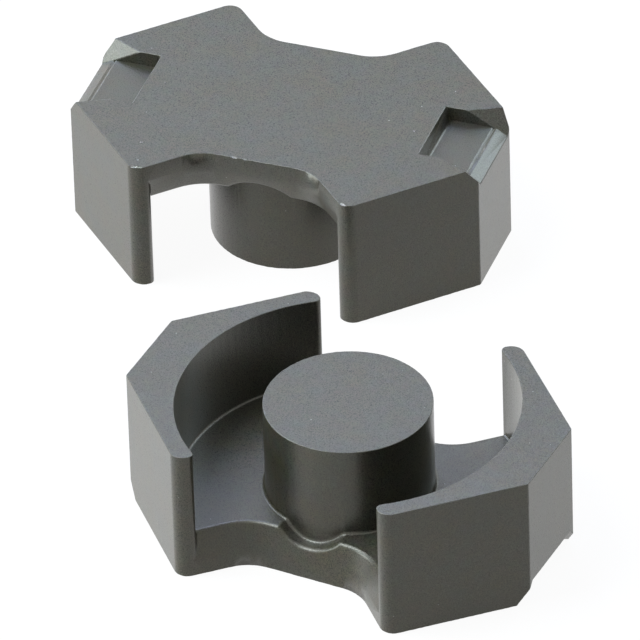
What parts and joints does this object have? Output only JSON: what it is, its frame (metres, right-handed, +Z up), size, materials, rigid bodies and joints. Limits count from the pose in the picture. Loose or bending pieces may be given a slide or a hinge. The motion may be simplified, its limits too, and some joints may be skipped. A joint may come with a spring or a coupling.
{
  "type": "rectangular module ferrite core",
  "caption": "Ferrite core for a coil, split into matching halves with a solid round post, curved legs, a waisted plate and clip recesses; shown apart, one open side up, one back up.",
  "frame": {"origin": "axis of the lower half's centre post, on the plane that both halves stand on", "axes": "+Z up, along the posts; +X from end to end of the lower half; +Y across its waist, towards the upper half"},
  "size_m": [0.0457, 0.0474, 0.0093],
  "materials": {
    "ferrite": "matte sintered ferrite, dark grey; mating faces ground"
  },
  "bodies": {
    "root": {"lower_core_half": "ferrite", "upper_core_half": "ferrite"}
  },
  "joints": []
}
